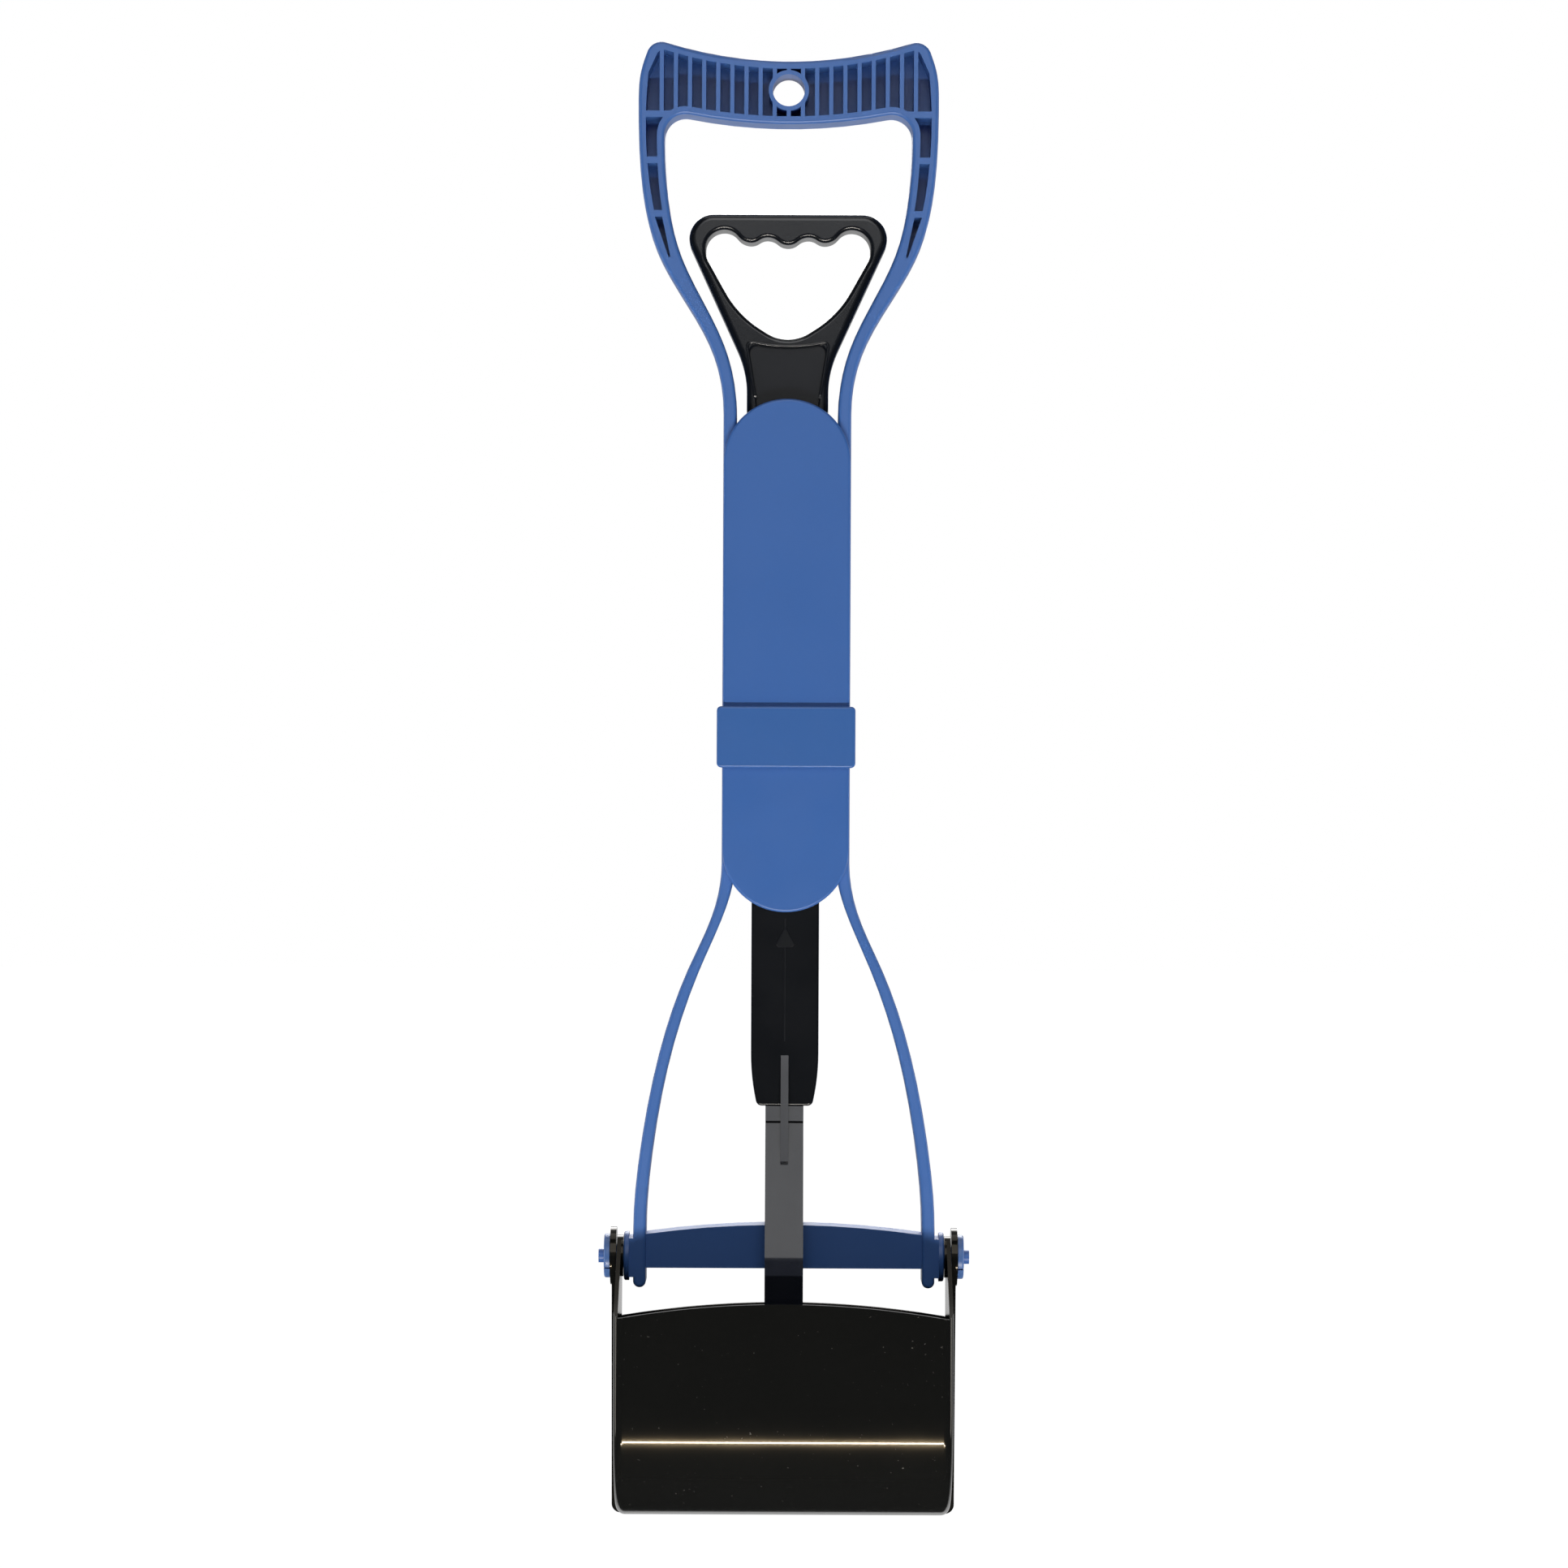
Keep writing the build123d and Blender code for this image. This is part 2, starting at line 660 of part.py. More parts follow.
# Cross pin through the tongue
with BuildPart() as stem_pin:
    with BuildSketch(Plane.XZ):
        with Locations((0, -handle_end_drop - tongue_length / 2)):
            Circle(stem_pin_radius)
    extrude(amount=stem_half_depth, both=True)
stem_pin.part.label = "stem_pin"
export_step(stem_pin.part, "parts/stem_pin.step")

# Return spring, between the fixed peg and the bottom of the window
spring_bottom = -spring_window_bottom_drop + spring_wire_radius + seat_gap
spring_top = peg_bottom - spring_wire_radius - seat_gap
spring_height = spring_top - spring_bottom
spring_pitch = spring_height / spring_turns
with BuildPart() as return_spring:
    with BuildLine(Plane.XY.offset(spring_bottom)):
        coil = Helix(pitch=spring_pitch, height=spring_height, radius=spring_radius)
    with BuildSketch(Plane(origin=coil @ 0, z_dir=coil % 0)):
        Circle(spring_wire_radius)
    sweep(path=coil)
return_spring.part.label = "return_spring"
export_step(return_spring.part, "parts/return_spring.step")

# Least gap between one turn of the spring and the next, on points along the coil
points_per_turn = 36
coil_points = [
    (
        spring_radius * cos(2 * pi * step / points_per_turn),
        spring_radius * sin(2 * pi * step / points_per_turn),
        spring_pitch * step / points_per_turn,
    )
    for step in range(spring_turns * points_per_turn + 1)
]
coil_gap = min(
    sqrt(sum((a - b) ** 2 for a, b in zip(coil_points[0], point)))
    for point in coil_points[points_per_turn // 2:]
) - 2 * spring_wire_radius
print("least gap of the spring to itself, mm:", round(coil_gap, 2))

# Straps, front and rear. side is -1 at the front and 1 at the rear.
strap_centre = stem_half_depth - strap_thickness / 2
root_bottom = -stem_end_drop - strap_root_height
slope_top = (strap_centre, root_bottom)
slope_bottom = (link_offset, pivot_height + strap_bend_above_pivot)


def strap(side):
    """One strap with its gusset and, at its forked end, the barrel for the link pin."""
    with BuildPart() as leg:
        with BuildSketch(Plane.YZ):
            with BuildLine():
                FilletPolyline(
                    (side * strap_centre, -stem_end_drop),
                    (side * slope_top[0], slope_top[1]),
                    (side * slope_bottom[0], slope_bottom[1]),
                    (side * link_offset, link_height),
                    radius=strap_bend_radius,
                )
            trace(line_width=strap_thickness)
            with BuildLine():
                Polyline(
                    (side * strap_root_inset, -stem_end_drop),
                    (side * (stem_half_depth - strap_root_slope), -stem_end_drop),
                    (side * stem_half_depth, root_bottom + groove_height),
                    (side * strap_root_inset, root_bottom + groove_height), close=True,
                )
            make_face()
            with Locations((side * link_offset, link_height)):
                Circle(strap_barrel_radius)
        extrude(amount=strap_half_width, both=True)
        # Groove across the front, where the slope begins
        with BuildSketch(Plane.YZ):
            with Locations((side * stem_half_depth, root_bottom + groove_height / 2)):
                Rectangle(2 * groove_depth, groove_height)
        extrude(amount=strap_half_width, both=True, mode=Mode.SUBTRACT)
        with BuildSketch(Plane.YZ):
            with BuildLine():
                Polyline(
                    (side * stem_half_depth, -gusset_top_drop),
                    (side * (stem_half_depth + gusset_reach), -gusset_bottom_drop),
                    (side * (stem_half_depth + gusset_reach - strap_thickness), -gusset_bottom_drop),
                    (side * (stem_half_depth - groove_depth), root_bottom),
                    (side * (stem_half_depth - groove_depth), -stem_end_drop),
                    (side * stem_half_depth, -stem_end_drop), close=True,
                )
            make_face()
        extrude(amount=gusset_half_width, both=True)
        with BuildSketch(Plane.YZ):
            with Locations((side * link_offset, link_height)):
                Circle(link_pin_radius + pin_clearance)
        extrude(amount=strap_half_width, both=True, mode=Mode.SUBTRACT)
        # Gap of the fork
        with BuildSketch(Plane.XZ):
            with Locations((0, link_height + fork_height - fork_half_gap)):
                Circle(fork_half_gap)
                Rectangle(
                    2 * fork_half_gap, fork_height + strap_barrel_radius, align=(Align.CENTER, Align.MAX)
                )
        extrude(amount=-side * (link_offset + strap_barrel_radius), mode=Mode.SUBTRACT)
    return leg.part


def link_pin(side):
    """The pin across a strap's fork, which rides in the slot of the jaw's lug."""
    with BuildPart() as pin:
        with BuildSketch(Plane.YZ):
            with Locations((side * link_offset, link_height)):
                Circle(link_pin_radius)
        extrude(amount=strap_half_width, both=True)
    return pin.part


for name, side in (("front", -1), ("rear", 1)):
    strap_part = strap(side)
    strap_part.label = name + "_strap"
    export_step(strap_part, "parts/" + name + "_strap.step")
    pin_part = link_pin(side)
    pin_part.label = name + "_link_pin"
    export_step(pin_part, "parts/" + name + "_link_pin.step")


def ear_tangent(ear_radius, point, turn):
    """Where a line from this point touches the ear's circle, on the side that turn gives."""
    across, down = point[0], point[1] - pivot_height
    angle = atan2(down, across) + turn * acos(ear_radius / hypot(across, down))
    return (ear_radius * cos(angle), pivot_height + ear_radius * sin(angle))


# The link pin's path as the jaw sees it, from shut to open
pin_path = []
for step in range(slot_steps + 1):
    turn = jaw_opening * step / slot_steps
    height = pull_travel * step / slot_steps - link_below_pivot
    pin_path.append((
        link_offset * cos(turn) + height * sin(turn), height * cos(turn) - link_offset * sin(turn),
    ))


def along_path(side, half_width, mode):
    """The area that a disc covers on its way along the link pin's path."""
    for (start_y, start_z), (end_y, end_z) in zip(pin_path, pin_path[1:]):
        SlotCenterPoint(
            (side * (start_y + end_y) / 2, pivot_height + (start_z + end_z) / 2),
            (side * end_y, pivot_height + end_z), 2 * half_width, mode=mode,
        )


def turned_edges(made, side):
    """The edges of the side faces that run down the flank and round the curve below it."""
    faces = made.faces().sort_by(Axis.X)
    edges = faces[0].edges() + faces[-1].edges()
    return edges.filter_by(lambda edge: side * edge.center().Y > rear_ear_radius).sort_by(Axis.Z)[:4]


def jaw(side, plate_inside, ear_radius, rim_lower, ear_start):
    """One jaw: curved wall, two side plates with pivot ears and a slotted lug in the middle."""
    rim = (side * jaw_rim_offset, pivot_height - jaw_rim_drop)
    rim_share = (jaw_rim_end_drop + rim_lower - jaw_rim_drop) / (jaw_shoulder_drop - jaw_rim_drop)
    rim_end = (
        side * (jaw_rim_offset + rim_share * (jaw_shoulder_offset - jaw_rim_offset)),
        pivot_height - jaw_rim_end_drop - rim_lower,
    )
    shoulder_point = (side * jaw_shoulder_offset, pivot_height - jaw_shoulder_drop)
    lip = (side * lip_half_gap, pivot_height - jaw_lip_drop)
    plate_outside = plate_inside + jaw_plate_thickness
    inner_rim = (rim[0] - side * jaw_wall, rim[1])
    inner_shoulder = (shoulder_point[0] - side * jaw_wall, shoulder_point[1])
    inner_lip = (lip[0], lip[1] + jaw_wall)
    over_ear = pivot_height + rear_ear_radius + overrun
    beyond_ear = -side * (rear_ear_radius + overrun)
    # The space inside the jaw, between its plates
    with BuildPart() as hollow:
        with BuildSketch(Plane.YZ):
            with BuildLine():
                flank = Line(inner_rim, inner_shoulder)
                TangentArc(inner_shoulder, inner_lip, tangent=flank % 1)
                Polyline(
                    inner_lip, (beyond_ear, inner_lip[1]), (beyond_ear, over_ear), (inner_rim[0], over_ear),
                    inner_rim,
                )
            make_face()
        extrude(amount=plate_inside, both=True)
        fillet(turned_edges(hollow, side), jaw_corner_radius - jaw_plate_thickness)
    # All that lies above the arched rim
    with BuildPart() as above_rim:
        with BuildSketch(Plane.XZ):
            arch_radius = (plate_inside ** 2 + (jaw_rim_end_drop - jaw_rim_drop) ** 2) / (
                2 * (jaw_rim_end_drop - jaw_rim_drop)
            )
            arch_top = pivot_height - jaw_rim_drop - rim_lower
            arch_end = arch_top - rise(arch_radius, plate_inside)
            with BuildLine():
                ThreePointArc((-plate_inside, arch_end), (0, arch_top), (plate_inside, arch_end))
                Polyline(
                    (plate_inside, arch_end), (plate_inside, over_ear), (-plate_inside, over_ear),
                    (-plate_inside, arch_end),
                )
            make_face()
        extrude(amount=-side * (jaw_shoulder_offset + overrun))
    # The wall's straight upper part, with the rim's edges rounded
    with BuildPart() as rim_wall_part:
        with BuildSketch(Plane.YZ):
            with BuildLine():
                Polyline(rim, shoulder_point, inner_shoulder, inner_rim, close=True)
            make_face()
        extrude(amount=plate_outside - jaw_corner_radius, both=True)
        add(above_rim.part, mode=Mode.SUBTRACT)
        long_edges = rim_wall_part.edges().filter_by(lambda edge: edge.length > plate_inside)
        fillet(long_edges.sort_by(Axis.Z)[-2:], rim_edge_radius)
    with BuildPart() as scoop:
        # Outside, from the wall's outline up to the ear, rounded where the wall turns into the plates
        with BuildSketch(Plane.YZ):
            with BuildLine():
                flank = Line(rim_end, shoulder_point)
                TangentArc(shoulder_point, lip, tangent=flank % 1)
                ear_back = ear_tangent(ear_radius, lip, -side)
                ear_front = ear_tangent(ear_radius, rim_end, side)
                Line(lip, ear_back)
                ThreePointArc(ear_back, (0, pivot_height + ear_radius), ear_front)
                Line(ear_front, rim_end)
            make_face()
        extrude(amount=plate_outside, both=True)
        fillet(turned_edges(scoop, side), jaw_corner_radius)
        add(hollow.part, mode=Mode.SUBTRACT)
        add(above_rim.part, mode=Mode.SUBTRACT)
        add(rim_wall_part.part)
        # Lug in the middle, with the slot for the link pin
        with BuildSketch(Plane.YZ):
            along_path(side, lug_half_height, Mode.ADD)
            across, up = lug_half_height * sin(link_angle), lug_half_height * cos(link_angle)
            root = side * (jaw_rim_offset - jaw_wall / 2)
            with BuildLine():
                Polyline(
                    (side * (link_offset + across), link_height + up), (root, pivot_height - lug_root_top),
                    (root, pivot_height - lug_root_bottom), (side * (link_offset - across), link_height - up),
                    close=True,
                )
            make_face()
            along_path(side, link_pin_radius + slot_clearance, Mode.SUBTRACT)
        extrude(amount=lug_half_width, both=True)
        # Ears, thicker than the plates, each with a hole
        for hand in (-1, 1):
            with BuildSketch(Plane.YZ.offset(hand * ear_start)):
                with Locations((0, pivot_height)):
                    Circle(ear_radius)
            extrude(amount=hand * (jaw_plate_thickness + ear_pad))
        with BuildSketch(Plane.YZ):
            with Locations((0, pivot_height)):
                Circle(axle_radius + running_clearance)
        extrude(amount=cap_face, both=True, mode=Mode.SUBTRACT)
    return scoop.part


for name, side, plate_inside, ear_radius, rim_lower, ear_start in (
    ("front_jaw", -1, front_plate_inside, front_ear_radius, 0, front_ear_face),
    ("rear_jaw", 1, rear_plate_inside, rear_ear_radius, rear_rim_lower, rear_plate_inside),
):
    jaw_part = jaw(side, plate_inside, ear_radius, rim_lower, ear_start)
    jaw_part.label = name
    export_step(jaw_part, "parts/" + name + ".step")

# Caps on the axle stubs, each with a slit
for name, side in (("left", -1), ("right", 1)):
    with BuildPart() as axle_cap:
        with BuildSketch(Plane.YZ.offset(side * cap_face)):
            with Locations((0, pivot_height)):
                Circle(cap_radius)
        extrude(amount=side * cap_thickness)
        fillet(axle_cap.faces().sort_by(Axis.X)[-1 if side > 0 else 0].edges(), cap_edge_radius)
        with BuildSketch(Plane.YZ.offset(side * cap_face)):
            with Locations((0, pivot_height)):
                Circle(axle_tip_radius)
            with Locations((0, pivot_height - cap_slit_below_axis)):
                Rectangle(cap_radius, cap_slit_width, align=(Align.MAX, Align.CENTER))
        extrude(amount=side * cap_thickness, mode=Mode.SUBTRACT)
    axle_cap.part.label = name + "_axle_cap"
    export_step(axle_cap.part, "parts/" + name + "_axle_cap.step")
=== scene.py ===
import math

import bmesh
import bpy
from mathutils import Matrix, Vector


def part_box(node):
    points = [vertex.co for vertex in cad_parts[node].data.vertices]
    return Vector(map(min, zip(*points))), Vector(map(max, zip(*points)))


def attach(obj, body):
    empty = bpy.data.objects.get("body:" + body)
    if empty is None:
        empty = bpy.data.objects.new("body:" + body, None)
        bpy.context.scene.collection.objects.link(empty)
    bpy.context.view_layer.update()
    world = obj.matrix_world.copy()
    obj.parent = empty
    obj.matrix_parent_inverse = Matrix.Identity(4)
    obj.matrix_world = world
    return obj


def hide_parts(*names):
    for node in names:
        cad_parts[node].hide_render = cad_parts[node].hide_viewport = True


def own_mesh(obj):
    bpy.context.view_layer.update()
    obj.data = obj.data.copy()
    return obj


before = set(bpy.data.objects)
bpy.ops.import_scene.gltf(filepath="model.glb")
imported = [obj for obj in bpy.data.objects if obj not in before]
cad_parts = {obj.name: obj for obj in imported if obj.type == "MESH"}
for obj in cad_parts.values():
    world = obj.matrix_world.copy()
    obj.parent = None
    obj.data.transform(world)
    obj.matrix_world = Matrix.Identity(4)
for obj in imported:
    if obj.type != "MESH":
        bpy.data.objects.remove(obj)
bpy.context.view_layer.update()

# Camera: the photograph is 1932 pixels square and was taken level, about two metres away
photo_pixels = 1932
pixel_size = 0.352e-3
camera_distance = 2.0
camera_height = -0.2996
camera_across = -0.0008
camera_roll = math.radians(0.25)
sensor_width = 36.0

# Light: a bright strip below the camera, soft boxes above it, in front, overhead, behind and on each side
strip_elevation = math.radians(-39.4)
strip_distance = 2.33
strip_size = (1.6, 0.06)
strip_radiance = 164.0
strip_colour = (1.0, 0.94, 0.86)
top_elevation = math.radians(36)
top_distance = 2.2
top_size = (0.8, 1.5)
top_radiance = 2.4
front_elevation = math.radians(14)
front_distance = 2.2
front_size = (3.0, 0.9)
front_radiance = 0.2
over_distance = 1.8
over_size = (1.2, 1.0)
over_radiance = 1.6
back_elevation = math.radians(32)
back_distance = 2.4
back_size = (1.8, 1.2)
back_radiance = 6.3
side_azimuth = math.radians(96)
side_distance = 1.8
side_size = (0.5, 1.4)
side_radiance = 4.4
target = Vector((0.0, 0.0, -0.42))
white_light = (1, 1, 1)

# World: white to the camera, and in reflections dim in front of the object and brighter behind it
ambient_level = 0.03
front_dim = 0.03
behind_bright = 0.4
world_dim_until = -0.25
world_bright_from = 0.2

# Floor: a pale sheet below the object, whose glow rises to plain white away from its middle
floor_drop = -2.0
floor_size = 80.0
floor_white = (0.75, 1.0)
floor_reach = (1.2, 3.5)
floor_tone = 0.9
floor_roughness = 0.9
mirror_white = 0.6
mirror_dark_until = 1.9
mirror_white_from = 2.1

# Colours, in the 0 to 255 steps of a display
frame_blue = (67, 110, 182)
cover_blue = (57, 103, 177)
band_blue = (54, 101, 172)
cap_blue = (84, 122, 188)
handle_black = (15, 19, 26)
stem_black = (13, 16, 21)
strap_black = (22, 26, 36)
jaw_black = (20, 21, 21)
mark_black = (19, 22, 27)
screw_grey = (160, 162, 165)
spring_grey = (150, 152, 155)

# Patterns of the plastic: the scales are in cells to the metre and the heights in metres
cloud_scale = 22.0
dust_scale = 620.0
dust_from = 0.73
dust_full = 0.79
dust_colour = (0.35, 0.34, 0.32, 1.0)
gloss_scale = 45.0
gloss_from = 0.3
gloss_to = 0.7
gloss_spread = 0.12
grain_scale = 2600.0
grain_height = 0.02e-3
streak_scale = 70.0
streak_stretch = (1.0, 1.0, 0.12)
streak_height = 0.3e-3
coat_roughness = 0.04

# Patterns of the steel
steel_scale = 300.0
steel_dark = 0.85
steel_gloss_spread = 0.3


def linear(colour):
    """A display colour as linear values, by the formula of the sRGB standard."""
    shares = [step / 255 for step in colour]
    return [v / 12.92 if v <= 0.04045 else ((v + 0.055) / 1.055) ** 2.4 for v in shares] + [1.0]


def node(tree, kind, inputs=(), **settings):
    """A new node with its settings and its inputs, which are values or sockets."""
    made = tree.nodes.new(kind)
    for name, value in settings.items():
        setattr(made, name, value)
    for name, value in dict(inputs).items():
        if isinstance(value, bpy.types.NodeSocket):
            tree.links.new(value, made.inputs[name])
        else:
            made.inputs[name].default_value = value
    return made


def plastic(
    name, colour, roughness, mottle=0.05, grain=0.5, speck=0.0, streak=0.0, specular=0.5, coat=0.0,
    tint=(1, 1, 1),
):
    """Moulded plastic: faint clouding, a fine grain, uneven gloss and, on worn pieces, pale specks."""
    material = bpy.data.materials.new(name)
    material.use_nodes = True
    tree = material.node_tree
    shader = tree.nodes["Principled BSDF"]
    shader.inputs["Specular IOR Level"].default_value = specular
    shader.inputs["Specular Tint"].default_value = (*tint, 1)
    shader.inputs["Coat Weight"].default_value = coat
    shader.inputs["Coat Roughness"].default_value = coat_roughness
    place = node(tree, "ShaderNodeTexCoord").outputs["Object"]
    base = linear(colour)
    light = [min(1.0, v * (1 + mottle)) for v in base[:3]] + [1.0]
    dark = [v * (1 - mottle) for v in base[:3]] + [1.0]
    cloud = node(tree, "ShaderNodeTexNoise", {"Vector": place, "Scale": cloud_scale, "Detail": 4.0})
    tone = node(tree, "ShaderNodeMix", {"Factor": cloud.outputs["Fac"]}, data_type="RGBA")
    tone.inputs["A"].default_value = dark
    tone.inputs["B"].default_value = light
    result = tone.outputs["Result"]
    if speck:
        dust = node(tree, "ShaderNodeTexNoise", {"Vector": place, "Scale": dust_scale, "Detail": 2.0})
        picked = node(
            tree, "ShaderNodeMapRange",
            {"Value": dust.outputs["Fac"], "From Min": dust_from, "From Max": dust_full, "To Max": speck},
        )
        dusty = node(tree, "ShaderNodeMix", {"Factor": picked.outputs["Result"]}, data_type="RGBA")
        tree.links.new(result, dusty.inputs["A"])
        dusty.inputs["B"].default_value = dust_colour
        result = dusty.outputs["Result"]
    tree.links.new(result, shader.inputs["Base Color"])
    patches = node(tree, "ShaderNodeTexNoise", {"Vector": place, "Scale": gloss_scale, "Detail": 3.0})
    gloss = node(
        tree, "ShaderNodeMapRange",
        {
            "Value": patches.outputs["Fac"], "From Min": gloss_from, "From Max": gloss_to,
            "To Min": roughness * (1 - gloss_spread), "To Max": roughness * (1 + gloss_spread),
        },
    )
    tree.links.new(gloss.outputs["Result"], shader.inputs["Roughness"])
    fine = node(tree, "ShaderNodeTexNoise", {"Vector": place, "Scale": grain_scale, "Detail": 2.0})
    bump = node(
        tree, "ShaderNodeBump", {"Height": fine.outputs["Fac"], "Strength": grain, "Distance": grain_height}
    )
    wave = bump
    if streak:
        stretched = node(tree, "ShaderNodeMapping", {"Vector": place, "Scale": streak_stretch})
        drawn = node(
            tree, "ShaderNodeTexNoise",
            {"Vector": stretched.outputs["Vector"], "Scale": streak_scale, "Detail": 2.0},
        )
        wave = node(
            tree, "ShaderNodeBump",
            {
                "Height": drawn.outputs["Fac"], "Strength": streak, "Distance": streak_height,
                "Normal": bump.outputs["Normal"],
            },
        )
    tree.links.new(wave.outputs["Normal"], shader.inputs["Normal"])
    return material


def metal(name, colour, roughness):
    """Plated steel with fine clouding and uneven gloss."""
    material = bpy.data.materials.new(name)
    material.use_nodes = True
    tree = material.node_tree
    shader = tree.nodes["Principled BSDF"]
    shader.inputs["Metallic"].default_value = 1.0
    place = node(tree, "ShaderNodeTexCoord").outputs["Object"]
    cloud = node(tree, "ShaderNodeTexNoise", {"Vector": place, "Scale": steel_scale, "Detail": 3.0})
    tone = node(tree, "ShaderNodeMix", {"Factor": cloud.outputs["Fac"]}, data_type="RGBA")
    tone.inputs["A"].default_value = [v * steel_dark for v in linear(colour)[:3]] + [1.0]
    tone.inputs["B"].default_value = linear(colour)
    tree.links.new(tone.outputs["Result"], shader.inputs["Base Color"])
    gloss = node(
        tree, "ShaderNodeMapRange",
        {
            "Value": cloud.outputs["Fac"],
            "To Min": roughness * (1 - steel_gloss_spread), "To Max": roughness * (1 + steel_gloss_spread),
        },
    )
    tree.links.new(gloss.outputs["Result"], shader.inputs["Roughness"])
    return material


def dress(name, material):
    """Gives a CAD node its material."""
    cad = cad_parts[name]
    cad.data.materials.clear()
    cad.data.materials.append(material)


# The materials, and the nodes that wear them
blue_frame = plastic("blue_frame", frame_blue, roughness=0.38, mottle=0.03)
blue_cover = plastic("blue_cover", cover_blue, roughness=0.36, mottle=0.02)
blue_band = plastic("blue_band", band_blue, roughness=0.33, mottle=0.02)
blue_cap = plastic("blue_cap", cap_blue, roughness=0.35, mottle=0.03)
black_handle = plastic("black_handle", handle_black, roughness=0.22, mottle=0.1)
black_stem = plastic("black_stem", stem_black, roughness=0.22, mottle=0.1)
black_strap = plastic("black_strap", strap_black, roughness=0.22, mottle=0.1)
black_jaw = plastic(
    "black_jaw", jaw_black, roughness=0.15, mottle=0.1, grain=0.15, speck=0.25, streak=0.02, specular=0.12,
    coat=0.2, tint=(1.0, 0.8, 0.5),
)
steel_screw = metal("steel_screw", screw_grey, roughness=0.3)
steel_spring = metal("steel_spring", spring_grey, roughness=0.3)

for name, material in (
    ("outer_frame", blue_frame), ("front_cover", blue_cover), ("rear_cover", blue_cover),
    ("cover_band", blue_band), ("left_axle_cap", blue_cap), ("right_axle_cap", blue_cap),
    ("cover_screws", steel_screw), ("stem_pin", steel_screw), ("front_link_pin", steel_screw),
    ("rear_link_pin", steel_screw), ("return_spring", steel_spring), ("pull_handle", black_handle),
    ("pull_stem", black_stem), ("front_strap", black_strap), ("rear_strap", black_strap),
    ("front_jaw", black_jaw), ("rear_jaw", black_jaw),
):
    dress(name, material)


def mesh_piece(name, made, material, body):
    """Turns a bmesh into a piece in the given material that rides on a body."""
    mesh = bpy.data.meshes.new(name)
    made.to_mesh(mesh)
    made.free()
    piece = bpy.data.objects.new(name, mesh)
    bpy.context.scene.collection.objects.link(piece)
    mesh.materials.append(material)
    for face in mesh.polygons:
        face.use_smooth = True
    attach(piece, body)
    return piece


def coil_spring(name, material):
    """The return spring, a smooth helix in the place of its CAD node."""
    low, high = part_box("return_spring")
    wire_radius = 0.55e-3
    turns = 11
    sides = 12
    steps_per_turn = 40
    coil_radius = (high[0] - low[0]) / 2 - wire_radius
    bottom = low[2] + wire_radius
    top = high[2] - wire_radius
    steps = turns * steps_per_turn
    made = bmesh.new()
    rings = []
    for step in range(steps + 1):
        share = step / steps
        angle = 2 * math.pi * turns * share
        centre = Vector((
            coil_radius * math.cos(angle), coil_radius * math.sin(angle), bottom + share * (top - bottom)
        ))
        outward = Vector((math.cos(angle), math.sin(angle), 0))
        along = Vector((
            -coil_radius * math.sin(angle), coil_radius * math.cos(angle),
            (top - bottom) / (2 * math.pi * turns),
        )).normalized()
        upward = outward.cross(along)
        ring = []
        for side in range(sides):
            turn = 2 * math.pi * side / sides
            ring.append(made.verts.new(
                centre + wire_radius * (math.cos(turn) * outward + math.sin(turn) * upward)
            ))
        rings.append(ring)
    for before, after in zip(rings, rings[1:]):
        for side in range(sides):
            following = (side + 1) % sides
            made.faces.new((before[side], before[following], after[following], after[side]))
    made.faces.new(list(reversed(rings[0])))
    made.faces.new(rings[-1])
    bmesh.ops.recalc_face_normals(made, faces=made.faces)
    piece = mesh_piece(name, made, material, "frame")
    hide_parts("return_spring")
    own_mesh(piece)


coil_spring("spring_coil", steel_spring)


def circle_points(centre, radius, height, count):
    """Points round a circle that lies square to Y."""
    return [
        Vector((
            centre[0] + radius * math.cos(2 * math.pi * step / count), height,
            centre[1] + radius * math.sin(2 * math.pi * step / count),
        ))
        for step in range(count)
    ]


def join_rings(made, rings):
    """Faces between each ring of vertices and the next."""
    for before, after in zip(rings, rings[1:]):
        count = len(before)
        for step in range(count):
            following = (step + 1) % count
            made.faces.new((before[step], before[following], after[following], after[step]))


